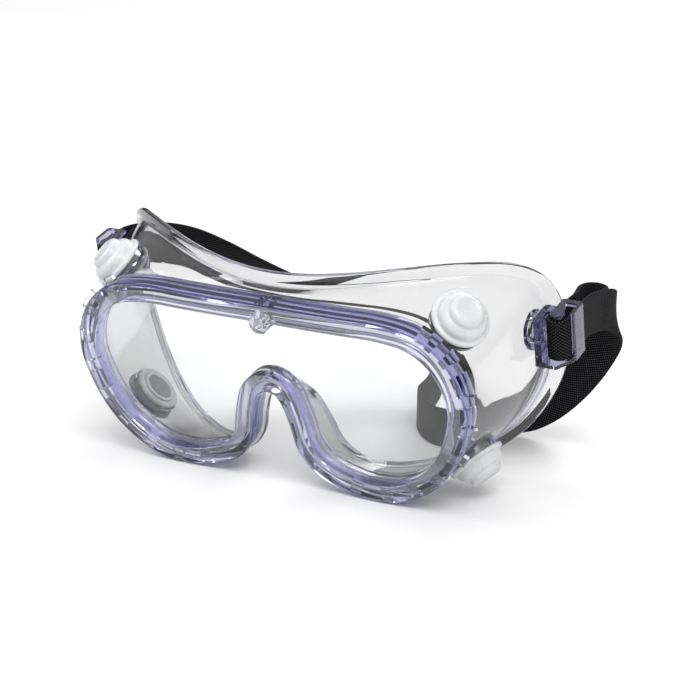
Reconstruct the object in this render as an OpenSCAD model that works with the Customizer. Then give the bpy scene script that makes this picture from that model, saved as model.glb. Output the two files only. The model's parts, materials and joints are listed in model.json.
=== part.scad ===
// Chemical-splash safety goggles with a soft clear frame, a flat lens, four
// indirect vents and an elastic headband on two swivelling strap clips.
//
// Design frame: +X is the wearer's left, +Y runs from the lens back to the face,
// +Z is up along the lens. The goggles are then leaned forward about X until the
// rim and the lower edge of the face flange both touch the table at Z = 0.

/* [Stance] */
// Forward lean of the lens when the goggles stand on a table, in degrees
lean = 13.1; // [11:0.1:15]

/* [Rim] */
// Width of the rim around the lens
rim_w = 7; // [6:0.5:8]
// Depth of the rim from front to back
rim_d = 9; // [8:0.5:11]
// Depth of the lens groove, measured in from the outer edge of the rim
groove_in = 3.4; // [2.5:0.1:4]

/* [Shroud] */
// Thickness of the shroud wall
wall_t = 1.9; // [1.4:0.1:2.6]
// Outward bulge of the shroud wall between rim and flange
wall_bulge = 0.4; // [0:0.1:2]
// Thickness of the face flange
flange_t = 1.9; // [1.4:0.1:2.4]
// Width of the face flange, turned outward
flange_w = 4.6; // [3:0.1:6]
// Depth of the face flange behind the lens plane at the forehead centre
face_depth = 14; // [12.5:0.5:18]
// Wrap of the face flange around the head, depth per millimetre squared
face_wrap = 0.0065; // [0.005:0.0005:0.0065]
// Extra depth of the flange towards the cheeks, depth per millimetre of height
cheek_slope = 0.1; // [0.05:0.01:0.12]

/* [Lens] */
// Thickness of the lens
lens_t = 2; // [1.5:0.1:2]
// Width of each lens tab
tab_w = 4; // [3:0.1:4.5]
// How far each lens tab stands out of the rim
tab_out = 2.2; // [1.5:0.1:3]
// Radius of the shank of the centre button
button_r = 1.4; // [1:0.1:1.6]

/* [Vents] */
// Radius of the vent cap's base flange
vent_r = 10.4; // [9.5:0.1:10.6]
// Height of the vent cap above its seat
vent_h = 8.2; // [7:0.1:9]
// Radius of the vent cap's hollow neck
neck_r = 6.4; // [5:0.1:6.4]

/* [Headband] */
// Width of the elastic strap
strap_w = 15; // [12:0.5:15]
// Thickness of the elastic strap
strap_t = 1.3; // [1:0.1:1.3]
// Radius of the post that the strap loops around
post_r = 2.6; // [2:0.1:2.6]

/* [Hidden] */

steps = 3;        // curve points between two outline points
seat_gap = 0.1;   // clearance of a seated piece
chamfer = 0.8;    // chamfer on the rim's edges
front_gap = 3.9;  // depth of the front lip of the rim
groove_w = lens_t + 2 * seat_gap;

// Outlines, right half from the top centre to the nose: the rim's outer edge and,
// beside it, the outer edge of the face flange, both as [x, z].
RIM_HALF = [[0, 33.5], [15, 33.4], [30, 33.5], [45, 33.6], [57.5, 31.5], [67, 25.5],
            [73.5, 15.5], [76, 3], [73.5, -9], [68.5, -20], [61, -29], [50, -36],
            [38, -38], [26, -36], [15.5, -31.3], [9.5, -23.5], [6.8, -12], [4, -3.8], [0, -1.4]];
FACE_HALF = [[0, 39.7], [14, 40], [29, 40.8], [45, 41.3], [61, 40], [73.5, 36],
             [82, 27], [85.6, 12], [85.2, -6], [80.5, -20], [72, -31.5], [59.5, -39.2],
             [45, -43.1], [31, -42.8], [20, -38], [13, -29], [9.5, -18], [6, -10], [0, -7]];

// A smooth curve through points, closed or open
function blend4(a, b, c, d, t) = 0.5 * (2 * b + (c - a) * t + (2 * a - 5 * b + 4 * c - d) * t * t
                                        + (3 * b - a - 3 * c + d) * t * t * t);
function closed_curve(p, n) = let (m = len(p))
    [for (i = [0 : m - 1]) for (k = [0 : n - 1])
        blend4(p[(i + m - 1) % m], p[i], p[(i + 1) % m], p[(i + 2) % m], k / n)];
function open_curve(p, n) = let (m = len(p))
    concat([for (i = [0 : m - 2]) for (k = [0 : n - 1])
        blend4(p[max(i - 1, 0)], p[i], p[i + 1], p[min(i + 2, m - 1)], k / n)], [p[m - 1]]);
function both_sides(half) = let (m = len(half))
    concat(half, [for (i = [m - 2 : -1 : 1]) [-half[i].x, half[i].y]]);
function unit(v) = v / norm(v);
function outward(p) = let (m = len(p))
    [for (i = [0 : m - 1]) let (t = unit(p[(i + 1) % m] - p[(i + m - 1) % m])) [-t.y, t.x]];

rim = closed_curve(both_sides(RIM_HALF), steps);
rim_out = outward(rim);
face = closed_curve(both_sides(FACE_HALF), steps);
face_out = outward(face);
stations = len(rim);

// The face surface that the flange lies on, and its unit normal pointing back
function depth(v) = face_depth + face_wrap * v.x * v.x + cheek_slope * max(0, -v.y);
function on_face(v) = [v.x, depth(v), v.y];
function face_normal(v) = unit([-2 * face_wrap * v.x, 1, v.y < 0 ? cheek_slope : 0]);
function at(v, d) = [v.x, d, v.y];

// One closed cross-section of the frame: rim with its lens groove, wall, flange
wall_stops = [0.4, 0.8];
function section(i) = let (
    o = rim[i], n = rim_out[i], g = face[i], m = face_out[i],
    slope = 2 * face_wrap * g.x * m.x,
    f = g - m * flange_w / sqrt(1 + slope * slope),
    start = o - 1.4 * n,
    toe = on_face(f) - flange_t * face_normal(f),
    heel = on_face(f - wall_t * m),
    side = [for (t = wall_stops) at(unit((1 - t) * n + t * m), 0)],
    outer = [for (k = [0 : len(wall_stops) - 1]) let (t = wall_stops[k])
        (1 - t) * at(start, rim_d + 0.4) + t * toe + wall_bulge * sin(180 * t) * side[k]])
    concat(
        [at(o - rim_w * n, chamfer), at(o - (rim_w - chamfer) * n, 0), at(o - n, 0), at(o, 1),
         at(o, rim_d - chamfer), at(o - chamfer * n, rim_d), at(start, rim_d + 0.4)],
        outer,
        [toe, on_face(g) - flange_t * face_normal(g), on_face(g), heel],
        [for (k = [len(wall_stops) - 1 : -1 : 0]) outer[k] - wall_t * side[k]],
        [at(o - (1.7 + wall_t) * n, rim_d + 0.3), at(o - (rim_w - 0.5) * n, rim_d),
         at(o - rim_w * n, rim_d - 0.5), at(o - rim_w * n, front_gap + groove_w),
         at(o - groove_in * n, front_gap + groove_w), at(o - groove_in * n, front_gap),
         at(o - rim_w * n, front_gap)]);

// Skin of a tube of sections, closed on itself or capped at both ends
function skin(n_sec, n_pt, closed) = [for (i = [0 : n_sec - (closed ? 1 : 2)]) for (j = [0 : n_pt - 1])
    let (a = i * n_pt + j, b = i * n_pt + (j + 1) % n_pt,
         c = ((i + 1) % n_sec) * n_pt + (j + 1) % n_pt, d = ((i + 1) % n_sec) * n_pt + j)
    each [[a, b, c], [a, c, d]]];
function flat(list) = [for (part = list) each part];

body_sections = [for (i = [0 : stations - 1]) section(i)];
body_points = flat(body_sections);

// Places along the rim where the lens tabs come out, as station numbers of the right half
tab_stations = [13, 15, 17, 20, 23, 26, 29, 32, 35, 38];
tab_places = concat(tab_stations, [for (s = tab_stations) stations - s]);
// A tab on the underside stands out less, so that it stays off the table
function tab_reach(i) = tab_out * (rim_out[i].y < -0.6 ? 0.25 : 1);

// Centre button of the lens
button_z = 25.6;
lobe_r = 3.7;

// Vents: place on the shroud and outward direction, for the right side
VENT_UP = [[66.2, 19.6, 28], [0.6, -0.28, 0.75]];
VENT_DOWN = [[65.5, 24, -28], [0.7, -0.25, -0.67]];
collar_r = 9.4;
collar_out = 0.9;
collar_in = 4;
port_r = neck_r + 0.2;
ring_r = 8.8;
ring_t = 1.2;

// Strap clips: the swivel axis runs along X through both clips
pivot_d = 47.5;
pivot_z = 12;
boss_x = 83.8;    // outer face of the side boss
boss_in = 78.4;   // inner face of the side boss
boss_r = 7;
pivot_r = 3;
pivot_fit = 0.06;
clip_x = boss_x + 0.2;
clip_base = 2.1;
clip_h = 18.4;
clip_wall = 1.5;
clip_front = 39;
clip_back = 55.5;
post_x = 90.2;
post_d = 45.5;
clip_out = 95.8;
clip_low = pivot_z - clip_h / 2;
sweep_r = 9.2;    // reach of the clip's inner part past its axis, clear of the flange

// Stance: lean about X, then stand on Z = 0 with the whole model centred on Y
function posed(p) = [p.x, p.y * cos(lean) - p.z * sin(lean), p.y * sin(lean) + p.z * cos(lean)];
floor_z = min([for (p = body_points) posed(p).z]);
front_y = min([for (p = body_points) posed(p).y]);

// Headband: each row is a point on the strap's centre line and the direction of its
// width there, standing on the table and measured before the centring on Y.
wrap_r = post_r + 0.1 + strap_t / 2;
up = [0, -sin(lean), cos(lean)];
function post_at(s) = posed([s * post_x, post_d, pivot_z]) - [0, 0, floor_z];
function around(s, a0, a1) = [for (k = [0 : 4]) let (a = a0 + (a1 - a0) * k / 4)
    [post_at(s) + [wrap_r * cos(a), wrap_r * sin(a) * cos(lean), wrap_r * sin(a) * sin(lean)], up]];
function in_clip(s, x, d) = [posed([s * x, d, pivot_z]) - [0, 0, floor_z], up];
RIGHT_TAB = [[[92, 74.5, 59.8], [0, 0, 1]], [[92.1, 79, 59.3], [0, 0, 1]], [[90.6, 82.8, 59], [0, 0, 1]],
             [[87, 83.6, 59.2], [0, 0, 1]], [[84.4, 80.6, 59.6], [0, 0, 1]], [[84.2, 74.5, 60.2], [0, 0, 1]],
             [[86, 67.5, 61], [0, 0, 1]], [[87.9, 61.5, 61.7], [0, -0.05, 1]],
             [[88.5, 56.8, 61.8], [0, -0.15, 1]], in_clip(1, 87, 52.5), in_clip(1, 86.9, 48.5)];
RIGHT_PLY = [in_clip(1, 93.5, 48.5), in_clip(1, 93.5, 54.5), [[93.4, 61, 61.8], [0, -0.05, 1]],
             [[93.5, 68, 61.1], [0, 0, 1]], [[93.8, 74.5, 60.1], [0, 0.1, 1]], [[94.1, 80.5, 58.4], [0, 0.3, 1]]];
MAIN = [[[93.2, 86.4, 55], [-0.3, 0.4, 0.9]], [[90.6, 90.3, 49.5], [-0.6, 0.3, 0.75]],
        [[86.8, 92.3, 42], [-0.8, 0.1, 0.6]], [[81.5, 92.8, 33], [-0.85, 0, 0.55]],
        [[75, 93.6, 24], [-0.75, 0.15, 0.65]], [[67, 95.3, 15.8], [-0.6, 0.2, 0.75]],
        [[59.5, 95.5, 10.5], [-0.35, 0.15, 0.9]], [[53.5, 92.5, 8.4], [-0.1, 0, 1]], [[49.5, 85, 7.9], [0, 0, 1]],
        [[45.5, 76, 7.8], [0, 0, 1]], [[38.5, 70, 7.8], [0, 0, 1]], [[30, 71, 7.8], [0, 0, 1]],
        [[22, 78.5, 7.8], [0, 0, 1]], [[17, 87.5, 8], [0, 0, 1]], [[16.6, 97.5, 9.5], [0, -0.1, 1]],
        [[15.5, 106.5, 14], [0, -0.3, 0.95]], [[8, 112, 20.5], [0.2, -0.5, 0.85]], [[-6, 111.5, 27], [0.3, -0.6, 0.75]],
        [[-24, 104.5, 35], [0.3, -0.6, 0.75]], [[-40, 95, 43], [0.3, -0.6, 0.75]],
        [[-53, 86.5, 50.5], [0.3, -0.55, 0.75]], [[-64, 79.5, 56.5], [0.25, -0.4, 0.85]],
        [[-74, 74, 60.2], [0.1, -0.2, 1]]];
LEFT_PLY = [[[-82.2, 69.5, 61.6], [0, -0.05, 1]], [[-88.6, 63.8, 62.2], [0, -0.1, 1]],
            [[-92.4, 57.5, 62], [0, -0.15, 1]], in_clip(-1, 93.5, 54.5), in_clip(-1, 93.5, 48.5)];
LEFT_TAB = [in_clip(-1, 86.9, 48.5), in_clip(-1, 87, 52.5), [[-88.6, 57, 61.9], [0, -0.15, 1]],
            [[-87, 62.2, 62.2], [0, -0.1, 1]], [[-83.2, 66.3, 61.8], [0, -0.05, 1]]];
strap_route = concat(RIGHT_TAB, around(1, 180, 360), RIGHT_PLY, MAIN, LEFT_PLY,
                     around(-1, 180, 360), LEFT_TAB);
strap_mid = open_curve([for (r = strap_route) r[0]], steps);
strap_side = open_curve([for (r = strap_route) unit(r[1])], steps);
function strap_section(i) = let (
    m = len(strap_mid),
    along = unit(strap_mid[min(i + 1, m - 1)] - strap_mid[max(i - 1, 0)]),
    w = unit(strap_side[i] - (strap_side[i] * along) * along) * strap_w / 2,
    t = unit(cross(w, along)) * strap_t / 2)
    [strap_mid[i] + w + t, strap_mid[i] - w + t, strap_mid[i] - w - t, strap_mid[i] + w - t];
strap_points = flat([for (i = [0 : len(strap_mid) - 1]) strap_section(i)]);
mid_y = (front_y + max([for (p = strap_points) p.y])) / 2;

// Stands a piece drawn in the lens frame on the table
module stand() {
    translate([0, -mid_y, -floor_z]) rotate([lean, 0, 0]) children();
}

// Lays a flat shape, drawn in X and Z, between two depths
module plate(d0, d1) {
    translate([0, d1, 0]) rotate([90, 0, 0]) linear_extrude(d1 - d0) children();
}

// Turns the +Z axis to a direction and moves it to a place
module aim(place, dir) {
    u = unit(dir);
    translate(place) rotate([0, acos(u.z), atan2(u.y, u.x)]) children();
}

module mirrored(side) {
    if (side > 0) children();
    else mirror([1, 0, 0]) children();
}

module vent_place(side, spot) {
    mirrored(side) aim(spot[0], spot[1]) children();
}

// A box set across the rim at one station, used for the tabs and their slots
module across_rim(i, w, from_out, to_out) {
    a = atan2(rim_out[i].y, rim_out[i].x);
    translate(rim[i]) rotate(a) translate([from_out, -w / 2]) square([to_out - from_out, w]);
}

module frame_solid() {
    polyhedron(points = body_points, faces = skin(stations, len(body_sections[0]), true));
    // lobes that carry the centre button
    plate(0, front_gap) translate([0, button_z]) circle(r = lobe_r, $fn = 32);
    plate(front_gap + groove_w, rim_d) translate([0, button_z]) circle(r = lobe_r, $fn = 32);
    // collars round the vent ports
    for (side = [1, -1], spot = [VENT_UP, VENT_DOWN]) vent_place(side, spot)
        translate([0, 0, -collar_in]) cylinder(r = collar_r, h = collar_in + collar_out, $fn = 36);
    // side bosses for the strap clips
    for (side = [1, -1]) mirrored(side) translate([boss_in, pivot_d, pivot_z])
        rotate([0, 90, 0]) cylinder(r = boss_r, h = boss_x - boss_in, $fn = 36);
}

module frame_cuts() {
    // slots for the lens tabs
    for (i = tab_places) plate(front_gap, front_gap + groove_w)
        across_rim(i, tab_w + 2 * seat_gap, -groove_in - 0.5, 1.5);
    plate(-1, rim_d + 1) translate([0, button_z]) circle(r = button_r + seat_gap, $fn = 24);
    for (side = [1, -1], spot = [VENT_UP, VENT_DOWN]) vent_place(side, spot)
        translate([0, 0, -collar_in - 2]) cylinder(r = port_r, h = collar_in + collar_out + 4, $fn = 36);
    for (side = [1, -1]) mirrored(side) translate([boss_in - 8, pivot_d, pivot_z])
        rotate([0, 90, 0]) {
            cylinder(r = pivot_r + pivot_fit, h = 20, $fn = 36);
            cylinder(r = 5, h = 8, $fn = 24);
        }
}

module frame_body() {
    color("#dfe0e8") stand() resize([0, 0, 0]) difference() {
        frame_solid();
        frame_cuts();
    }
}

module lens() {
    inset = groove_in + 0.15;
    near = front_gap + seat_gap;
    edge = [for (i = [0 : stations - 1]) rim[i] - inset * rim_out[i]];
    color("#eef1f2") stand() difference() {
        union() {
            plate(near, near + lens_t) polygon(edge);
            for (i = tab_places) plate(near, near + lens_t) across_rim(i, tab_w, -inset - 1, tab_reach(i));
        }
        plate(0, rim_d) translate([0, button_z]) circle(r = button_r + seat_gap, $fn = 24);
    }
}

module lens_button() {
    // snap button: domed front head, shank through lips and lens, rear head
    front = rim_d + 0.05;
    color("#e9edf2") stand() translate([0, rim_d, button_z]) rotate([90, 0, 0])
        rotate_extrude($fn = 48) polygon([[0, -0.9], [1.7, -0.9], [2, -0.4], [2, -0.1], [button_r, -0.1],
            [button_r, front], [2.4, front], [2.4, front + 0.5], [1.8, front + 0.8], [0, front + 0.8]]);
}

module vent_cap(side, spot) {
    // hollow button: neck, base flange, shoulder and flat top disc
    color("#f4f4f2") stand() vent_place(side, spot) rotate_extrude($fn = 64) polygon([
        [neck_r - 1.2, -collar_in - ring_t - 0.6], [neck_r, -collar_in - ring_t - 0.6],
        [neck_r, collar_out + 0.1], [vent_r, collar_out + 0.1], [vent_r, collar_out + 1.1],
        [vent_r - 0.5, collar_out + 1.6], [8.9, collar_out + 1.8], [8.7, collar_out + 3.4],
        [8, collar_out + 4.6], [6.6, collar_out + 5.6], [6.2, collar_out + 5.8], [6, collar_out + 6.8],
        [5.4, vent_h + collar_out - 0.4], [4.6, vent_h + collar_out], [0, vent_h + collar_out],
        [0, vent_h + collar_out - 1.2], [4.4, vent_h + collar_out - 1.3], [neck_r - 1.2, collar_out + 5]]);
}

module vent_ring(side, spot) {
    // snap ring on the neck, against the inner face of the port
    color("#eceeee") stand() vent_place(side, spot) rotate_extrude($fn = 64)
        translate([neck_r + 0.08, -collar_in - ring_t - 0.05])
            polygon([[0, 0.1], [0.2, 0], [ring_r - neck_r - 0.6, 0], [ring_r - neck_r - 0.1, 0.4],
                     [ring_r - neck_r - 0.1, ring_t], [0, ring_t]]);
}

module clip_pivot(side) {
    // stud from inside the goggles through the boss, headed over in the clip's base
    head_t = 0.8;
    inner = boss_in - 0.05;
    outer = clip_x + clip_base - 0.1;
    color("#d9dbe6") stand() mirrored(side) translate([0, pivot_d, pivot_z]) rotate([0, 90, 0])
        rotate_extrude($fn = 64) polygon([[0, inner - 1.3], [3.4, inner - 1.3], [4.4, inner - 0.6],
            [4.4, inner], [pivot_r, inner], [pivot_r, outer - head_t], [4, outer - head_t],
            [4, outer - 0.2], [3.8, outer], [0, outer]]);
}

module clip_plan(x0, x1, d0, d1) {
    translate([x0, d0]) square([x1 - x0, d1 - d0]);
}

module strap_clip(side) {
    top_z = clip_low + clip_h;
    base_x = clip_x + clip_base;
    plate_t = 1.4;
    color("#9a97c8") stand() mirrored(side) difference() {
        union() {
            // base plate against the side boss
            translate([clip_x, clip_front, clip_low]) cube([clip_base, clip_back - clip_front, clip_h]);
            // front wall, beside the strap's turn
            translate([0, 0, clip_low]) linear_extrude(clip_h)
                polygon([[clip_x, clip_front], [88.4, clip_front], [88, clip_front + clip_wall],
                         [clip_x, clip_front + clip_wall]]);
            // outer wall beside the strap's outer ply
            translate([0, 0, clip_low]) linear_extrude(clip_h)
                polygon([[clip_out - 1.4, 46.4], [clip_out - 0.3, 46], [clip_out, 47], [clip_out, 54.6],
                         [clip_out - 0.9, clip_back], [clip_out - 1.4, clip_back]]);
            // floor of the clip
            translate([0, 0, clip_low]) linear_extrude(plate_t)
                polygon([[clip_x, clip_front], [91.5, clip_front], [clip_out - 0.3, 46], [clip_out, 47],
                         [clip_out, 54.6], [clip_out - 0.9, clip_back], [clip_x, clip_back]]);
            // roof: rear bar, and a rib to the head of the post, with open hollows either side
            translate([0, 0, top_z - plate_t]) linear_extrude(plate_t) {
                clip_plan(clip_x, clip_out - 0.9, clip_back - 2.2, clip_back);
                polygon([[87.6, clip_back - 1], [90, clip_back - 1], [92.4, post_d - 1], [91.4, post_d - 2.6],
                         [89, post_d - 2.6], [88, post_d - 1]]);
            }
            translate([post_x, post_d, clip_low]) cylinder(r = post_r, h = clip_h, $fn = 48);
        }
        // bore and counterbore for the pivot stud
        translate([0, pivot_d, pivot_z]) rotate([0, 90, 0]) {
            translate([0, 0, clip_x - 1]) cylinder(r = pivot_r + pivot_fit, h = 5, $fn = 64);
            translate([0, 0, base_x - 0.98]) cylinder(r = 4.2, h = 2, $fn = 64);
        }
        // rear corners of the inner part are rounded about the swivel axis
        difference() {
            translate([clip_x - 1, pivot_d, clip_low - 1]) cube([88.2 - clip_x + 1, 12, clip_h + 2]);
            translate([clip_x - 2, pivot_d, pivot_z]) rotate([0, 90, 0])
                cylinder(r = sweep_r, h = 12, $fn = 96);
        }
    }
}

module strap() {
    m = len(strap_mid);
    color("#1c1c1e") translate([0, -mid_y, 0]) polyhedron(points = strap_points,
        faces = concat(skin(m, 4, false), [[3, 2, 1, 0]], [[for (k = [4 : -1 : 1]) 4 * m - k]]));
}

// Bar of thread across the sewn end of one loop, between its two plies
module strap_stitching(place, turn, tilt) {
    color("#101012") translate([0, -mid_y, 0]) translate(place) rotate([tilt, 0, turn])
        cube([1.6, 0.2, strap_w - 3], center = true);
}

frame_body();
lens();
lens_button();
vent_cap(1, VENT_UP);  // vent_cap_upper_right
vent_cap(-1, VENT_UP);  // vent_cap_upper_left
vent_cap(1, VENT_DOWN);  // vent_cap_lower_right
vent_cap(-1, VENT_DOWN);  // vent_cap_lower_left
vent_ring(1, VENT_UP);  // vent_ring_upper_right
vent_ring(-1, VENT_UP);  // vent_ring_upper_left
vent_ring(1, VENT_DOWN);  // vent_ring_lower_right
vent_ring(-1, VENT_DOWN);  // vent_ring_lower_left
clip_pivot(1);  // clip_pivot_right
clip_pivot(-1);  // clip_pivot_left
strap_clip(1);  // strap_clip_right
strap_clip(-1);  // strap_clip_left
strap();
strap_stitching([93, 75.5, 59.9], 88, 0);  // strap_stitching_right
strap_stitching([-84.5, 66.5, 61.9], 46, 3);  // strap_stitching_left
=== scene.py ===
"""Looks of the chemical-splash goggles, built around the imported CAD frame.

The design frame has +X to the wearer's left, +D back from the lens towards the face and +Z up
along the lens, in millimetres. placed() leans it forward and stands it on the table.
"""
import json
import math

import bmesh
import bpy
import numpy as np
from mathutils import Matrix, Vector


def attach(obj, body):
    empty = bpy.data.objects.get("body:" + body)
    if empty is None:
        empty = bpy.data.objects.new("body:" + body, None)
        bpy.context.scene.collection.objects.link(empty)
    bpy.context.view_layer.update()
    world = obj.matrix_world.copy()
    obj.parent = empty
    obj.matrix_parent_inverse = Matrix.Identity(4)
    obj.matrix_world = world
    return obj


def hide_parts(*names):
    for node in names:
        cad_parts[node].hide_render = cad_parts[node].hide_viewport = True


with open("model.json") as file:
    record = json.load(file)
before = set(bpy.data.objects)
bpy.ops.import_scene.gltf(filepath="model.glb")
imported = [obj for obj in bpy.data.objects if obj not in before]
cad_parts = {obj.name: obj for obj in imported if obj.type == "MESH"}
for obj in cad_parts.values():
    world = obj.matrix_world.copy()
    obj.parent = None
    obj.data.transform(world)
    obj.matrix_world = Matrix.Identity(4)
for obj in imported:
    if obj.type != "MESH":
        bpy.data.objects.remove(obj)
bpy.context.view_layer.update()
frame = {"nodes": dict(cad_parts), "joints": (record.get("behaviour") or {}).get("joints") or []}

MM = 0.001
SIDES = {"right": 1, "left": -1}

# ---------------------------------------------------------------- the CAD's driving sizes, mm
LEAN = math.radians(13.1)
RIM_W, RIM_D, GROOVE_IN = 7, 9, 3.4
WALL_T, WALL_BULGE = 1.9, 0.4
FLANGE_T, FLANGE_W = 1.9, 4.6
FACE_DEPTH, FACE_WRAP, CHEEK_SLOPE = 14, 0.0065, 0.1
FRONT_GAP, GROOVE_W = 3.9, 2.2
TAB_W, SEAT_GAP = 4, 0.1
BUTTON_Z, BUTTON_R, LOBE_R = 25.6, 1.4, 3.7
COLLAR_R, COLLAR_OUT, COLLAR_IN = 9.4, 0.9, 4
VENT_R, VENT_H, NECK_R, RING_T = 10.4, 8.2, 6.4, 1.2
PIVOT_D, PIVOT_Z, BOSS_X, BOSS_IN, BOSS_R, PIVOT_R = 47.5, 12, 83.8, 78.4, 7, 3
STRAP_W, STRAP_T, POST_X, POST_D, POST_R = 15, 1.3, 90.2, 45.5, 2.6

RIM_HALF = [[0, 33.5], [15, 33.4], [30, 33.5], [45, 33.6], [57.5, 31.5], [67, 25.5],
            [73.5, 15.5], [76, 3], [73.5, -9], [68.5, -20], [61, -29], [50, -36],
            [38, -38], [26, -36], [15.5, -31.3], [9.5, -23.5], [6.8, -12], [4, -3.8], [0, -1.4]]
FACE_HALF = [[0, 39.7], [14, 40], [29, 40.8], [45, 41.3], [61, 40], [73.5, 36],
             [82, 27], [85.6, 12], [85.2, -6], [80.5, -20], [72, -31.5], [59.5, -39.2],
             [45, -43.1], [31, -42.8], [20, -38], [13, -29], [9.5, -18], [6, -10], [0, -7]]
CAD_STEPS = 3  # part.scad's steps between two given points, which TAB_STATIONS counts
TAB_STATIONS = [13, 15, 17, 20, 23, 26, 29, 32, 35, 38]
VENTS = {"upper": ((66.2, 19.6, 28), (0.6, -0.28, 0.75)),
         "lower": ((65.5, 24, -28), (0.7, -0.25, -0.67))}


# ---------------------------------------------------------------- places
def leaned(p):
    """A point or direction of the design frame, leaned about X."""
    x, d, z = p
    return np.array([x, d * math.cos(LEAN) - z * math.sin(LEAN), d * math.sin(LEAN) + z * math.cos(LEAN)])


SWIVEL = frame["joints"][0]
ORIGIN = np.array(SWIVEL["pos_m"]) / MM - leaned((0, PIVOT_D, PIVOT_Z))


def placed(p):
    """Design frame to row frame, still in millimetres."""
    return leaned(p) + ORIGIN


def designed_way(v):
    """A direction of the row frame, back in the design frame."""
    x, y, z = v
    return np.array([x, y * math.cos(LEAN) + z * math.sin(LEAN), -y * math.sin(LEAN) + z * math.cos(LEAN)])


def designed(p):
    """A point of the row frame, back in the design frame."""
    return designed_way(np.asarray(p) - ORIGIN)


def unit(v):
    v = np.asarray(v, float)
    return v / np.linalg.norm(v)


# ---------------------------------------------------------------- curves
ROUND_STEPS = 3


def blend4(a, b, c, d, t):
    """Catmull-Rom curve from b to c, as in part.scad."""
    return 0.5 * (2 * b + (c - a) * t + (2 * a - 5 * b + 4 * c - d) * t**2
                  + (3 * b - a - 3 * c + d) * t**3)


def closed_curve(points, n):
    """A smooth loop through the points, with n steps between two of them."""
    p = np.array(points, float)
    m = len(p)
    return np.array([blend4(p[i - 1], p[i], p[(i + 1) % m], p[(i + 2) % m], k / n)
                     for i in range(m) for k in range(n)])


def open_curve(points, n):
    """A smooth curve through the points, with n steps between two of them."""
    p = np.array(points, float)
    m = len(p)
    inner = [blend4(p[max(i - 1, 0)], p[i], p[i + 1], p[min(i + 2, m - 1)], k / n)
             for i in range(m - 1) for k in range(n)]
    return np.array(inner + [p[-1]])


def both_sides(half):
    """A closed outline from its +X half."""
    return half + [[-x, z] for x, z in half[-2:0:-1]]


def outward(p):
    """The outward direction at each point of a closed outline."""
    t = np.roll(p, -1, axis=0) - np.roll(p, 1, axis=0)
    t /= np.linalg.norm(t, axis=1)[:, None]
    return np.column_stack([-t[:, 1], t[:, 0]])


def rounded(corners):
    """A closed outline from (point, radius) corners, each rounded by a quadratic curve."""
    pts = [np.array(c[0], float) for c in corners]
    out = []
    for i, (_, radius) in enumerate(corners):
        before, here, after = pts[i - 1], pts[i], pts[(i + 1) % len(pts)]
        if radius == 0:
            out.append(here)
            continue
        a = here + unit(before - here) * radius
        b = here + unit(after - here) * radius
        for t in np.linspace(0, 1, ROUND_STEPS + 1):
            out.append((1 - t) ** 2 * a + 2 * t * (1 - t) * here + t**2 * b)
    return out


# ---------------------------------------------------------------- mesh helpers
def new_object(name, mesh):
    o = bpy.data.objects.new(name, mesh)
    bpy.context.scene.collection.objects.link(o)
    return o


def mesh_object(name, points_mm, faces):
    """An object from points in the row frame, in millimetres."""
    mesh = bpy.data.meshes.new(name)
    mesh.from_pydata([tuple(np.array(p) * MM) for p in points_mm], [], faces)
    mesh.update()
    return new_object(name, mesh)


def sweep_faces(rows, cols, closed):
    """Quads that join rows of cols points, round each row and from row to row."""
    last = rows if closed else rows - 1
    quads = [(i * cols + j, i * cols + (j + 1) % cols,
              (i + 1) % rows * cols + (j + 1) % cols, (i + 1) % rows * cols + j)
             for i in range(last) for j in range(cols)]
    if not closed:
        quads.append(tuple(range(cols))[::-1])
        quads.append(tuple((rows - 1) * cols + j for j in range(cols)))
    return quads


def face_outwards(o):
    """Turns every face's normal outwards."""
    bm = bmesh.new()
    bm.from_mesh(o.data)
    bmesh.ops.recalc_face_normals(bm, faces=bm.faces)
    bm.to_mesh(o.data)
    bm.free()


def smooth(o, angle):
    """Smooth shading, with edges sharper than the angle kept crisp."""
    bm = bmesh.new()
    bm.from_mesh(o.data)
    limit = math.radians(angle)
    for f in bm.faces:
        f.smooth = True
    for e in bm.edges:
        e.smooth = e.calc_face_angle(0) < limit
    bm.to_mesh(o.data)
    bm.free()
    return o


def apply_modifiers(o):
    """Replaces the object's mesh by what its modifiers make of it."""
    dg = bpy.context.evaluated_depsgraph_get()
    mesh = bpy.data.meshes.new_from_object(o.evaluated_get(dg))
    o.modifiers.clear()
    o.data = mesh


def combine(base, others, operation):
    """Boolean of base with each other solid; the others are used up."""
    for other in others:
        mod = base.modifiers.new("cut", "BOOLEAN")
        mod.operation, mod.object, mod.solver = operation, other, "MANIFOLD"
    apply_modifiers(base)
    for other in others:
        bpy.data.objects.remove(other)


def lathe(name, profile, place, direction, segments=64):
    """A solid turned about an axis: profile is (radius, height) from one axis end to the other."""
    to_axis = Vector(leaned(direction)).to_track_quat("Z", "Y").to_matrix()
    base = placed(place)
    points, faces = [], []
    rings = []
    for r, h in profile:
        if r == 0:
            rings.append([len(points)])
            points.append(base + np.array(to_axis @ Vector((0, 0, h))))
            continue
        rings.append(list(range(len(points), len(points) + segments)))
        for k in range(segments):
            a = 2 * math.pi * k / segments
            points.append(base + np.array(to_axis @ Vector((r * math.cos(a), r * math.sin(a), h))))
    pairs = list(zip(rings, rings[1:]))
    if profile[0][0] != 0 and profile[-1][0] != 0:
        pairs.append((rings[-1], rings[0]))
    for low, high in pairs:
        if len(low) + len(high) == 2:
            continue
        for k in range(segments):
            n = (k + 1) % segments
            if len(low) == 1:
                faces.append((low[0], high[n], high[k]))
            elif len(high) == 1:
                faces.append((low[k], low[n], high[0]))
            else:
                faces.append((low[k], low[n], high[n], high[k]))
    o = mesh_object(name, points, faces)
    face_outwards(o)
    return o


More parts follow.
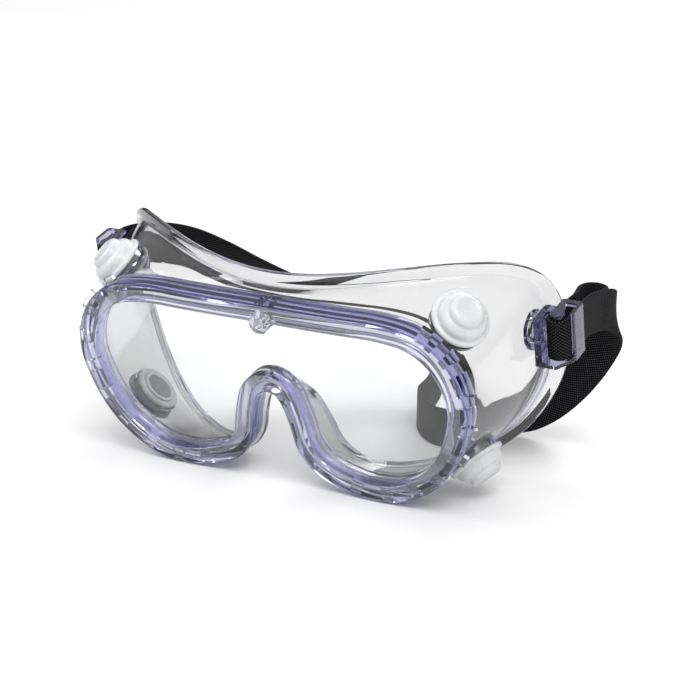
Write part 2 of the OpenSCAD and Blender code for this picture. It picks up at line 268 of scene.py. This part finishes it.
def block(name, corners_low, corners_high):
    """A solid between two matching outlines, given in the design frame."""
    m = len(corners_low)
    faces = [tuple(range(m))[::-1], tuple(range(m, 2 * m))]
    faces += [(k, (k + 1) % m, m + (k + 1) % m, m + k) for k in range(m)]
    o = mesh_object(name, [placed(p) for p in list(corners_low) + list(corners_high)], faces)
    face_outwards(o)
    return o


# ---------------------------------------------------------------- the soft frame
# The vinyl has one clear colour. The violet of the rim's outer wall and the grey of the shroud are painted
# shade. They stand in for the dark violet that the thick rim shows edge-on and the grey seen through the
# shroud's walls.
RIM_TINT, PAINTED_EDGE_SHADE, PAINTED_SHROUD_SHADE = (0.97, 0.97, 0.97), (0.22, 0.22, 0.48), (0.80, 0.80, 0.765)
RIM_BACK = RIM_D + 0.6  # depth past which a face belongs to the shroud, which gets the painted grey shade
SHADED_EDGE_INSET = 1.6  # how far in from the rim's outline the painted violet edge shade reaches on its outer wall and corners
FRAME_CREASE, VENT_CREASE, SOFT_CREASE = 32, 50, 60  # degrees
STEPS = 9  # this script's finer steps
FINE = STEPS // CAD_STEPS
rim = closed_curve(both_sides(RIM_HALF), STEPS)
rim_out = outward(rim)
face = closed_curve(both_sides(FACE_HALF), STEPS)
face_out = outward(face)


def at(v, d):
    """The point of the design frame at outline point v and depth d."""
    return np.array([v[0], d, v[1]], float)


def on_face(v):
    """A point of the face surface that the flange lies on."""
    return at(v, FACE_DEPTH + FACE_WRAP * v[0] ** 2 + CHEEK_SLOPE * max(0, -v[1]))


def face_normal(v):
    return unit([-2 * FACE_WRAP * v[0], 1, CHEEK_SLOPE if v[1] < 0 else 0])


def frame_section(i):
    """The frame's closed cross-section at one station: rim with its lens groove, wall, flange."""
    o, n, g, m = rim[i], rim_out[i], face[i], face_out[i]
    slope = 2 * FACE_WRAP * g[0] * m[0]
    f = g - m * FLANGE_W / math.sqrt(1 + slope**2)
    root = at(o - 1.4 * n, RIM_D + 0.4)
    toe = on_face(f) - FLANGE_T * face_normal(f)
    walls_out, walls_in = [], []
    for t in (0.2, 0.4, 0.6, 0.8):
        side = at(unit((1 - t) * n + t * m), 0)
        outer = (1 - t) * root + t * toe + WALL_BULGE * math.sin(math.pi * t) * side
        walls_out.append((outer, 0))
        walls_in.append((outer - WALL_T * side, 0))
    groove_back = FRONT_GAP + GROOVE_W
    corners = [(at(o - RIM_W * n, 0), 0.7), (at(o, 0), 1.5), (at(o, RIM_D), 1.0), (root, 0.5)]
    corners += walls_out
    corners += [(toe, 1.0), (on_face(g) - FLANGE_T * face_normal(g), 0.8), (on_face(g), 0.8),
                (on_face(f - WALL_T * m), 0.7)]
    corners += walls_in[::-1]
    corners += [(at(o - (1.7 + WALL_T) * n, RIM_D + 0.3), 0.4), (at(o - RIM_W * n, RIM_D), 0.7),
                (at(o - RIM_W * n, groove_back), 0.25), (at(o - GROOVE_IN * n, groove_back), 0),
                (at(o - GROOVE_IN * n, FRONT_GAP), 0), (at(o - RIM_W * n, FRONT_GAP), 0.25)]
    return [placed(p) for p in rounded(corners)]


def across_rim(i, width, low, high, d0, d1):
    """A box through the rim at one station, for a tab slot."""
    n = rim_out[i]
    t = np.array([-n[1], n[0]])
    plan = [rim[i] + n * a + t * b for a, b in
            ((low, -width / 2), (high, -width / 2), (high, width / 2), (low, width / 2))]
    return block("slot", [at(v, d0) for v in plan], [at(v, d1) for v in plan])


def make_frame_body():
    """The one-piece soft frame: the swept section, with its lobe, collars, bosses, ports and slots."""
    sections = [frame_section(i) for i in range(len(rim))]
    cols = len(sections[0])
    body = mesh_object("frame_shell", [p for s in sections for p in s],
                       sweep_faces(len(sections), cols, True))
    face_outwards(body)
    solids, cuts = [], []
    for d0, d1 in ((0, FRONT_GAP), (FRONT_GAP + GROOVE_W, RIM_D)):
        solids.append(lathe("lobe", [(0, d0), (LOBE_R - 0.4, d0), (LOBE_R, d0 + 0.4),
                                     (LOBE_R, d1 - 0.4), (LOBE_R - 0.4, d1), (0, d1)],
                            (0, 0, BUTTON_Z), (0, 1, 0)))
    cuts.append(lathe("hole", [(0, -1), (BUTTON_R + 0.1, -1), (BUTTON_R + 0.1, RIM_D + 1), (0, RIM_D + 1)],
                      (0, 0, BUTTON_Z), (0, 1, 0), 32))
    for s in SIDES.values():
        for spot, way in VENTS.values():
            place, out = np.array(spot) * (s, 1, 1), np.array(way) * (s, 1, 1)
            solids.append(lathe("collar", [(0, -COLLAR_IN), (COLLAR_R, -COLLAR_IN),
                                           (COLLAR_R, COLLAR_OUT - 0.4), (COLLAR_R - 0.1, COLLAR_OUT - 0.1),
                                           (COLLAR_R - 0.5, COLLAR_OUT), (0, COLLAR_OUT)], place, out))
            cuts.append(lathe("port", [(0, -COLLAR_IN - 2), (NECK_R + 0.2, -COLLAR_IN - 2),
                                       (NECK_R + 0.2, COLLAR_OUT + 2), (0, COLLAR_OUT + 2)], place, out))
        pivot, along = (0, PIVOT_D, PIVOT_Z), (s, 0, 0)
        solids.append(lathe("boss", [(0, BOSS_IN), (BOSS_R - 0.4, BOSS_IN), (BOSS_R, BOSS_IN + 0.4),
                                     (BOSS_R, BOSS_X - 0.5), (BOSS_R - 0.5, BOSS_X), (0, BOSS_X)],
                            pivot, along))
        bore_r = PIVOT_R + 0.06
        cuts.append(lathe("bore", [(0, BOSS_IN - 8), (5, BOSS_IN - 8), (5, BOSS_IN), (bore_r, BOSS_IN),
                                   (bore_r, BOSS_X + 1), (0, BOSS_X + 1)], pivot, along))
    stations = len(rim)
    places = [s * FINE for s in TAB_STATIONS]
    for i in places + [stations - p for p in places]:
        cuts.append(across_rim(i, TAB_W + 2 * SEAT_GAP, -GROOVE_IN - 0.5, 1.5,
                               FRONT_GAP, FRONT_GAP + GROOVE_W))
    combine(body, solids, "UNION")
    combine(body, cuts, "DIFFERENCE")
    paint_shade_zones(body)
    return smooth(body, FRAME_CREASE)


def paint_shade_zones(body):
    """Colours each face by where it is: the clear rim, and painted shade elsewhere, violet on the rim's
    outer wall and grey on the shroud, where light makes the one clear vinyl look darker.
    """
    colours = body.data.color_attributes.new("painted_shade_zones", "FLOAT_COLOR", "CORNER")
    stations = np.array(rim)
    for f in body.data.polygons:
        x, d, z = designed(np.array(f.center) / MM)
        i = int(np.argmin(((stations - (x, z)) ** 2).sum(axis=1)))
        outwards = designed_way(np.array(f.normal))
        on_edge = float(np.dot((outwards[0], outwards[2]), rim_out[i])) > 0.5
        inset = float(np.dot((x, z) - stations[i], rim_out[i]))
        # Painted shade: grey on the shroud, violet on the rim's outer wall, instead of the darkening that
        # light gives the clear vinyl there
        if d > RIM_BACK:
            tint = PAINTED_SHROUD_SHADE
        else:
            tint = PAINTED_EDGE_SHADE if on_edge and inset > -SHADED_EDGE_INSET else RIM_TINT
        for corner in f.loop_indices:
            colours.data[corner].color = (*tint, 1)


# ---------------------------------------------------------------- vents
def make_vent_cap(name, side, level):
    """A stepped dome on a hollow neck, moulded in one piece."""
    spot, way = VENTS[level]
    base, top = COLLAR_OUT, COLLAR_OUT + VENT_H
    neck_end, neck_bore = -COLLAR_IN - RING_T - 0.6, NECK_R - 1.2
    neck = [(neck_bore, neck_end), (NECK_R, neck_end), (NECK_R, base + 0.1)]
    flange = [(VENT_R - 0.3, base + 0.1), (VENT_R, base + 0.35), (VENT_R, base + 1.0),
              (VENT_R - 0.15, base + 1.35), (VENT_R - 0.6, base + 1.6)]
    lower_step = [(9.2, base + 1.65), (8.95, base + 1.8), (8.85, base + 2.1), (8.7, base + 3.2),
                  (8.4, base + 4.0), (7.8, base + 4.75), (7.1, base + 5.25), (6.6, base + 5.5)]
    upper_step = [(6.35, base + 5.65), (6.25, base + 5.9), (6.1, base + 6.7), (5.85, base + 7.3),
                  (5.4, base + 7.75), (4.7, top - 0.05), (4.2, top)]
    dished_top = [(3.9, top - 0.12), (3.5, top - 0.3), (0, top - 0.3)]
    hollow = [(0, top - 1.2), (4.4, top - 1.3), (neck_bore, base + 5)]
    profile = neck + flange + lower_step + upper_step + dished_top + hollow
    cap = lathe(name, profile, np.array(spot) * (side, 1, 1), np.array(way) * (side, 1, 1), 96)
    return smooth(cap, VENT_CREASE)


# ---------------------------------------------------------------- the elastic headband
WRAP_R = POST_R + 0.1 + STRAP_T / 2
UP = leaned((0, 0, 1))
FLOOR = np.array([0, ORIGIN[1], 0])


def in_clip(side, x, d):
    """A point of the strap inside a clip, with the way of its width."""
    return placed((side * x, d, PIVOT_Z)) - FLOOR, UP


def around(side):
    """The turn of the strap round the post of one clip."""
    post = placed((side * POST_X, POST_D, PIVOT_Z)) - FLOOR
    return [(post + WRAP_R * leaned((math.cos(a), math.sin(a), 0)), UP)
            for a in np.linspace(math.pi, 2 * math.pi, 5)]


# The strap's route: each row is a point (x, y behind the origin, height) and the way its width points.
Z = (0, 0, 1)
RIGHT_TAB = [((92, 74.5, 59.8), Z), ((92.1, 79, 59.3), Z), ((90.6, 82.8, 59), Z), ((87, 83.6, 59.2), Z),
             ((84.4, 80.6, 59.6), Z), ((84.2, 74.5, 60.2), Z), ((86, 67.5, 61), Z),
             ((87.9, 61.5, 61.7), (0, -0.05, 1)), ((88.5, 56.8, 61.8), (0, -0.15, 1)),
             in_clip(1, 87, 52.5), in_clip(1, 86.9, 48.5)]
RIGHT_PLY = [in_clip(1, 93.5, 48.5), in_clip(1, 93.5, 54.5), ((93.4, 61, 61.8), (0, -0.05, 1)),
             ((93.5, 68, 61.1), Z), ((93.8, 74.5, 60.1), (0, 0.1, 1)), ((94.1, 80.5, 58.4), (0, 0.3, 1))]
MAIN = [((93.2, 86.4, 55), (-0.3, 0.4, 0.9)), ((90.6, 90.3, 49.5), (-0.6, 0.3, 0.75)),
        ((86.8, 92.3, 42), (-0.8, 0.1, 0.6)), ((81.5, 92.8, 33), (-0.85, 0, 0.55)),
        ((75, 93.6, 24), (-0.75, 0.15, 0.65)), ((67, 95.3, 15.8), (-0.6, 0.2, 0.75)),
        ((59.5, 95.5, 10.5), (-0.35, 0.15, 0.9)), ((53.5, 92.5, 8.4), (-0.1, 0, 1)),
        ((49.5, 85, 7.9), Z), ((45.5, 76, 7.8), Z), ((38.5, 70, 7.8), Z), ((30, 71, 7.8), Z),
        ((22, 78.5, 7.8), Z), ((17, 87.5, 8), Z), ((16.6, 97.5, 9.5), (0, -0.1, 1)),
        ((15.5, 106.5, 14), (0, -0.3, 0.95)), ((8, 112, 20.5), (0.2, -0.5, 0.85)),
        ((-6, 111.5, 27), (0.3, -0.6, 0.75)), ((-24, 104.5, 35), (0.3, -0.6, 0.75)),
        ((-40, 95, 43), (0.3, -0.6, 0.75)), ((-53, 86.5, 50.5), (0.3, -0.55, 0.75)),
        ((-64, 79.5, 56.5), (0.25, -0.4, 0.85)), ((-74, 74, 60.2), (0.1, -0.2, 1))]
LEFT_PLY = [((-82.2, 69.5, 61.6), (0, -0.05, 1)), ((-88.6, 63.8, 62.2), (0, -0.1, 1)),
            ((-92.4, 57.5, 62), (0, -0.15, 1)), in_clip(-1, 93.5, 54.5), in_clip(-1, 93.5, 48.5)]
LEFT_TAB = [in_clip(-1, 86.9, 48.5), in_clip(-1, 87, 52.5), ((-88.6, 57, 61.9), (0, -0.15, 1)),
            ((-87, 62.2, 62.2), (0, -0.1, 1)), ((-83.2, 66.3, 61.8), (0, -0.05, 1))]
STRAP_STEPS = 12
EDGE_R = STRAP_T / 2


def strap_frames():
    """Centre points, width directions and thickness directions all along the strap."""
    route = RIGHT_TAB + around(1) + RIGHT_PLY + MAIN + LEFT_PLY + around(-1) + LEFT_TAB
    mid = open_curve([r[0] for r in route], STRAP_STEPS)
    side = open_curve([unit(r[1]) for r in route], STRAP_STEPS)
    along = np.gradient(mid, axis=0)
    along /= np.linalg.norm(along, axis=1)[:, None]
    across = side - (side * along).sum(1)[:, None] * along
    across /= np.linalg.norm(across, axis=1)[:, None]
    return mid, across, np.cross(across, along)


def strap_outline():
    """Cross-section of the elastic as (across, through) points: flat faces and round selvages."""
    half, r = STRAP_W / 2, EDGE_R
    flat = list(np.linspace(-(half - r), half - r, 9))
    turn = np.linspace(math.pi / 2, -math.pi / 2, 7)[1:-1]
    top = [(w, r) for w in flat]
    right = [(half - r + r * math.cos(a), r * math.sin(a)) for a in turn]
    bottom = [(w, -r) for w in flat[::-1]]
    left = [(-(half - r) - r * math.cos(a), -r * math.sin(a)) for a in turn]
    return top + right + bottom + left


def make_strap():
    """The elastic headband, with its length and width in metres as the UVs of the weave."""
    mid, across, through = strap_frames()
    outline = strap_outline()
    points = [FLOOR + c + w * a + t * b for c, w, t in zip(mid, across, through) for a, b in outline]
    rows, cols = len(mid), len(outline)
    o = mesh_object("elastic_strap", points, sweep_faces(rows, cols, False))
    length = np.concatenate([[0], np.cumsum(np.linalg.norm(np.diff(mid, axis=0), axis=1))])
    uv = o.data.uv_layers.new(name="weave")
    for loop in o.data.loops:
        row, col = divmod(loop.vertex_index, cols)
        uv.data[loop.index].uv = (length[row] * MM, outline[col][0] * MM)
    face_outwards(o)
    return smooth(o, SOFT_CREASE)


# ---------------------------------------------------------------- node helpers for the materials
class Nodes:
    """Builds one node material: add() makes a node, link() joins two sockets."""

    def __init__(self, name):
        self.material = bpy.data.materials.new(name)
        self.material.use_nodes = True
        self.tree = self.material.node_tree
        self.shader = self.tree.nodes["Principled BSDF"]
        self.output = self.tree.nodes["Material Output"]

    def add(self, kind, **values):
        node = self.tree.nodes.new(kind)
        for key, value in values.items():
            setattr(node, key, value)
        return node

    def link(self, source, target):
        self.tree.links.new(source, target)

    def set(self, **values):
        for key, value in values.items():
            self.shader.inputs[key.replace("_", " ")].default_value = value

    def noise(self, scale, detail, roughness=0.5):
        place = self.add("ShaderNodeTexCoord")
        node = self.add("ShaderNodeTexNoise")
        node.inputs["Scale"].default_value = scale
        node.inputs["Detail"].default_value = detail
        node.inputs["Roughness"].default_value = roughness
        self.link(place.outputs["Object"], node.inputs["Vector"])
        return node.outputs["Fac"]

    def ramp(self, fac, low, high, start=0.0, end=1.0):
        """A linear change between two values, numbers or colours, over a stretch of fac."""
        if isinstance(low, tuple):
            node = self.add("ShaderNodeValToRGB")
            for element, place, colour in zip(node.color_ramp.elements, (start, end), (low, high)):
                element.position, element.color = place, (*colour, 1)
            self.link(fac, node.inputs["Fac"])
            return node.outputs["Color"]
        node = self.add("ShaderNodeMapRange")
        for key, value in (("From Min", start), ("From Max", end), ("To Min", low), ("To Max", high)):
            node.inputs[key].default_value = value
        self.link(fac, node.inputs["Value"])
        return node.outputs["Result"]

    def bump(self, height, strength, distance):
        node = self.add("ShaderNodeBump")
        node.inputs["Strength"].default_value = strength
        node.inputs["Distance"].default_value = distance
        self.link(height, node.inputs["Height"])
        self.link(node.outputs["Normal"], self.shader.inputs["Normal"])

    def absorb(self, colour, density):
        """Tints the light that crosses the body of the piece."""
        node = self.add("ShaderNodeVolumeAbsorption")
        node.inputs["Color"].default_value = (*colour, 1)
        node.inputs["Density"].default_value = density
        self.link(node.outputs["Volume"], self.output.inputs["Volume"])


def clear_plastic(name, roughness, surface, tint, density, haze, ripple):
    """Moulded clear plastic: coloured at its surfaces and by thickness, with a slight haze and ripple.

    surface is a colour, or the name of a colour attribute of the mesh, which on the frame holds painted
    shade. density is per metre.
    """
    m = Nodes(name)
    m.set(Transmission_Weight=1 - haze, IOR=1.5)
    if isinstance(surface, str):
        # Reads the colour attribute, which on the frame holds painted shade
        painted_shade_zones = m.add("ShaderNodeVertexColor", layer_name=surface)
        m.link(painted_shade_zones.outputs["Color"], m.shader.inputs["Base Color"])
    else:
        m.set(Base_Color=(*surface, 1))
    m.link(m.ramp(m.noise(90, 3), roughness * 0.6, roughness * 1.6, 0.3, 0.7),
           m.shader.inputs["Roughness"])
    m.bump(m.noise(55, 2), ripple, 0.001)
    m.absorb(tint, density)
    return m.material


def milky_plastic():
    """Slightly translucent white polyethylene of the vents."""
    m = Nodes("milky_polyethylene")
    m.set(Transmission_Weight=0.1, IOR=1.45)
    m.link(m.ramp(m.noise(120, 3), (0.69, 0.70, 0.715), (0.77, 0.775, 0.785), 0.3, 0.7),
           m.shader.inputs["Base Color"])
    m.link(m.ramp(m.noise(200, 3), 0.22, 0.34, 0.3, 0.7), m.shader.inputs["Roughness"])
    m.bump(m.noise(260, 3), 0.02, 0.0002)
    return m.material


WEAVE_PITCH = 0.0006  # metres from one pick to the next


def woven_elastic():
    """Black elastic: raised picks in a checkered weave, each row offset from the last, with a painted
    highlight of grey on the top of each pick.
    """
    m = Nodes("black_woven_elastic")
    uv = m.add("ShaderNodeUVMap", uv_map="weave")
    parts = m.add("ShaderNodeSeparateXYZ")
    m.link(uv.outputs["UV"], parts.inputs["Vector"])

    def wave(socket):
        scaled = m.add("ShaderNodeMath", operation="MULTIPLY")
        scaled.inputs[1].default_value = 2 * math.pi / (2 * WEAVE_PITCH)
        m.link(socket, scaled.inputs[0])
        sine = m.add("ShaderNodeMath", operation="SINE")
        m.link(scaled.outputs[0], sine.inputs[0])
        return sine.outputs[0]

    def join(operation, a, b):
        node = m.add("ShaderNodeMath", operation=operation)
        m.link(a, node.inputs[0])
        m.link(b, node.inputs[1])
        return node.outputs[0]

    along, across = wave(parts.outputs["X"]), wave(parts.outputs["Y"])
    picks = m.ramp(join("MULTIPLY", along, across), 0.0, 1.0, -0.6, 0.6)
    fuzz = m.noise(2600, 3, 0.7)
    height = join("ADD", picks, m.ramp(fuzz, 0.0, 0.35))
    # Painted highlight: the tops of the picks and their fuzz are coloured grey instead of black, as if lit
    m.link(m.ramp(height, (0.0012, 0.0012, 0.0014), (0.045, 0.045, 0.05), 0.8, 1.0),
           m.shader.inputs["Base Color"])
    m.link(m.ramp(fuzz, 0.5, 0.8), m.shader.inputs["Roughness"])
    m.set(Sheen_Weight=0.02, Sheen_Roughness=0.4, Specular_IOR_Level=0.05)
    m.bump(height, 0.8, 0.0002)
    return m.material


def thread():
    """Black sewing thread, uneven in colour and gloss."""
    m = Nodes("black_thread")
    m.link(m.ramp(m.noise(3000, 2), (0.006, 0.006, 0.007), (0.03, 0.03, 0.034)),
           m.shader.inputs["Base Color"])
    m.link(m.ramp(m.noise(2400, 2), 0.45, 0.7), m.shader.inputs["Roughness"])
    m.bump(m.noise(4000, 2), 0.4, 0.0001)
    return m.material


# ---------------------------------------------------------------- stitching
# For each seam: its centre, the strap's direction there and its tilt in degrees.
STITCHES = {"right": ((93, 75.5, 59.9), 88, 0), "left": ((-84.5, 66.5, 61.9), 46, 3)}
THREAD_R, STITCH_LENGTH, STITCHES_PER_ROW = 0.16, 1.5, 8
STITCH_ROWS, SEAM_MARGIN, SEAM_LIFT = (-1.6, 0, 1.6), 1.6, 0.22


def stitch(points, start, end, outward_way):
    """One thread stitch, a bent rod from start to end that dips into the elastic.

    Adds its points to the list, and returns its faces.
    """
    n_ring, n_row = 8, 7
    along = unit(end - start)
    sideways = np.cross(along, outward_way)
    first = len(points)
    for k in range(n_row):
        t = k / (n_row - 1)
        mid = start + (end - start) * t + outward_way * THREAD_R * (1.6 * math.sin(math.pi * t) - 0.6)
        r = THREAD_R * (0.55 + 0.45 * math.sin(math.pi * t))
        for j in range(n_ring):
            a = 2 * math.pi * j / n_ring
            points.append(mid + r * (math.cos(a) * sideways + math.sin(a) * outward_way))
    return [tuple(first + i for i in f) for f in sweep_faces(n_row, n_ring, False)]


def make_stitching(name, where):
    """Three rows of stitches through both plies, seen on the outer faces of the loop's sewn end."""
    place, turn, tilt = where
    turn = math.radians(turn)
    along = np.array([math.cos(turn), math.sin(turn), 0])
    out = np.array([-math.sin(turn), math.cos(turn), 0])
    up = unit(np.array([0, 0, 1.0]) - math.sin(math.radians(tilt)) * out)
    centre = np.array(place) + FLOOR
    half_h, length = STRAP_W / 2 - SEAM_MARGIN, STITCH_LENGTH
    points, faces = [], []
    for side in (1, -1):
        for row in STITCH_ROWS:
            for k in range(STITCHES_PER_ROW):
                z = -half_h + (k + 0.5) * (2 * half_h / STITCHES_PER_ROW)
                mid = centre + along * row + up * z + out * side * (STRAP_T + SEAM_LIFT)
                faces += stitch(points, mid - up * length / 2, mid + up * length / 2, out * side)
    o = mesh_object(name, points, faces)
    face_outwards(o)
    return smooth(o, SOFT_CREASE)


# ---------------------------------------------------------------- studio
VIEW_RIGHT = np.array([0.8693, 0.4943, 0])
VIEW_UP = np.array([-0.1623, 0.2854, 0.9446])
VIEW_BACK = np.array([0.4669, -0.8211, 0.3283])
CAMERA_DISTANCE, FOCAL, SENSOR = 794.3, 118.9, 36  # mm
AIM_RIGHT, AIM_UP = 28.9, 13.75  # mm from the lens's centre to what the camera looks at
CLIP_NEAR, CLIP_FAR = 0.01, 80
FLOOR_REACH = 30  # m, so that no low view sees past the floor
WORLD_STOPS = ((0.0, 0.02), (0.15, 0.05), (0.34, 0.7), (1.0, 1.0))  # (upward part, brightness)
WORLD_STRENGTH = 0.75
LIGHTS = (("key", (0.5, -0.7, 1.1), (0.9, 0.7), 11), ("fill", (-1.0, -0.3, 0.8), (0.7, 0.7), 5),
          ("back", (0.1, 1.1, 0.9), (1.0, 0.5), 7))  # name, place and size in metres, watts
LIT_POINT = (0, 0, 0.03)


def make_camera():
    """The photograph's viewpoint: it stands off the lens and is turned to frame the whole object."""
    data = bpy.data.cameras.new("camera")
    data.lens, data.sensor_width = FOCAL, SENSOR
    data.clip_start, data.clip_end = CLIP_NEAR, CLIP_FAR
    cam = new_object("camera", data)
    lens_centre = placed((0, 0, 0))
    eye = lens_centre + CAMERA_DISTANCE * VIEW_BACK
    target = lens_centre + AIM_RIGHT * VIEW_RIGHT + AIM_UP * VIEW_UP
    cam.location = eye * MM
    back = unit(eye - target)
    right = unit(np.cross(VIEW_UP, back))
    up = np.cross(back, right)
    cam.rotation_euler = Matrix(np.column_stack([right, up, back]).tolist()).to_euler()
    bpy.context.scene.camera = cam


def area_light(name, place, size, power):
    """A white softbox that faces the object."""
    data = bpy.data.lights.new(name, "AREA")
    data.shape, data.size, data.size_y = "RECTANGLE", *size
    data.energy = power
    light = new_object(name, data)
    light.location = place
    light.rotation_euler = (Vector(place) - Vector(LIT_POINT)).to_track_quat("Z", "Y").to_euler()


def make_floor():
    mesh = bpy.data.meshes.new("floor")
    r = FLOOR_REACH
    mesh.from_pydata([(-r, -r, 0), (r, -r, 0), (r, r, 0), (-r, r, 0)], [], [(0, 1, 2, 3)])
    floor = new_object("floor", mesh)
    m = Nodes("pale_floor")
    m.set(Base_Color=(0.9, 0.9, 0.9, 1), Roughness=0.7, Specular_IOR_Level=0.2)
    floor.data.materials.append(m.material)


def make_studio():
    """A bright room with a darker band low down, which draws the dark edges in the clear plastic."""
    world = bpy.data.worlds.new("studio")
    bpy.context.scene.world = world
    world.use_nodes = True
    nodes, links = world.node_tree.nodes, world.node_tree.links
    coords = nodes.new("ShaderNodeTexCoord")
    parts = nodes.new("ShaderNodeSeparateXYZ")
    ramp = nodes.new("ShaderNodeValToRGB")
    links.new(coords.outputs["Generated"], parts.inputs["Vector"])
    links.new(parts.outputs["Z"], ramp.inputs["Fac"])
    links.new(ramp.outputs["Color"], nodes["Background"].inputs["Color"])
    elements = ramp.color_ramp.elements
    for element, (place, level) in zip(elements, (WORLD_STOPS[0], WORLD_STOPS[-1])):
        element.position, element.color = place, (level, level, level, 1)
    for place, level in WORLD_STOPS[1:-1]:
        elements.new(place).color = (level, level, level, 1)
    nodes["Background"].inputs["Strength"].default_value = WORLD_STRENGTH
    for light in LIGHTS:
        area_light(*light)
    bpy.context.scene.view_settings.view_transform = "Standard"


# ---------------------------------------------------------------- the build
BEVEL_SEGMENTS, BEVEL_ANGLE = 2, math.radians(40)


def dress(o, material):
    """Gives the object this one material."""
    o.data.materials.clear()
    o.data.materials.append(material)
    return o


def rounded_node(name, width, material):
    """A CAD node that keeps its shape: crisp edges eased by a small bevel, with its own material."""
    o = frame["nodes"][name]
    for f in o.data.polygons:
        f.use_smooth = True
    bevel = o.modifiers.new("eased edges", "BEVEL")
    bevel.width, bevel.segments = width * MM, BEVEL_SEGMENTS
    bevel.limit_method, bevel.angle_limit = "ANGLE", BEVEL_ANGLE
    dress(o, material)


def build():
    make_camera()
    make_floor()
    make_studio()
    # The frame's surface colour is its painted shade attribute: clear rim, violet painted shade on the
    # rim's outer wall, grey painted shade on the shroud
    vinyl = clear_plastic("clear_vinyl", 0.02, "painted_shade_zones", (0.30, 0.29, 0.66), 58, haze=0.02, ripple=0.01)
    polycarbonate = clear_plastic("clear_polycarbonate", 0.012, (0.90, 0.905, 0.91),
                                  (0.5, 0.55, 0.55), 12, haze=0.01, ripple=0.005)
    violet = clear_plastic("violet_clear_plastic", 0.03, (0.66, 0.64, 0.82),
                           (0.27, 0.24, 0.52), 170, haze=0.02, ripple=0.005)
    milky, elastic, sewing = milky_plastic(), woven_elastic(), thread()

    body = dress(make_frame_body(), vinyl)
    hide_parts("frame_body")
    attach(body, "frame")
    for level in VENTS:
        for side_name, s in SIDES.items():
            cap = dress(make_vent_cap(f"vent_dome_{level}_{side_name}", s, level), milky)
            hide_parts(f"vent_cap_{level}_{side_name}")
            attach(cap, "frame")
            rounded_node(f"vent_ring_{level}_{side_name}", 0.15, milky)
    band = dress(make_strap(), elastic)
    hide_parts("strap")
    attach(band, "headband")
    for side_name in SIDES:
        seam = dress(make_stitching(f"thread_stitches_{side_name}", STITCHES[side_name]), sewing)
        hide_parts(f"strap_stitching_{side_name}")
        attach(seam, "headband")
        rounded_node(f"strap_clip_{side_name}", 0.3, violet)
        rounded_node(f"clip_pivot_{side_name}", 0.1, polycarbonate)
    rounded_node("lens", 0.15, polycarbonate)
    rounded_node("lens_button", 0.15, polycarbonate)


build()
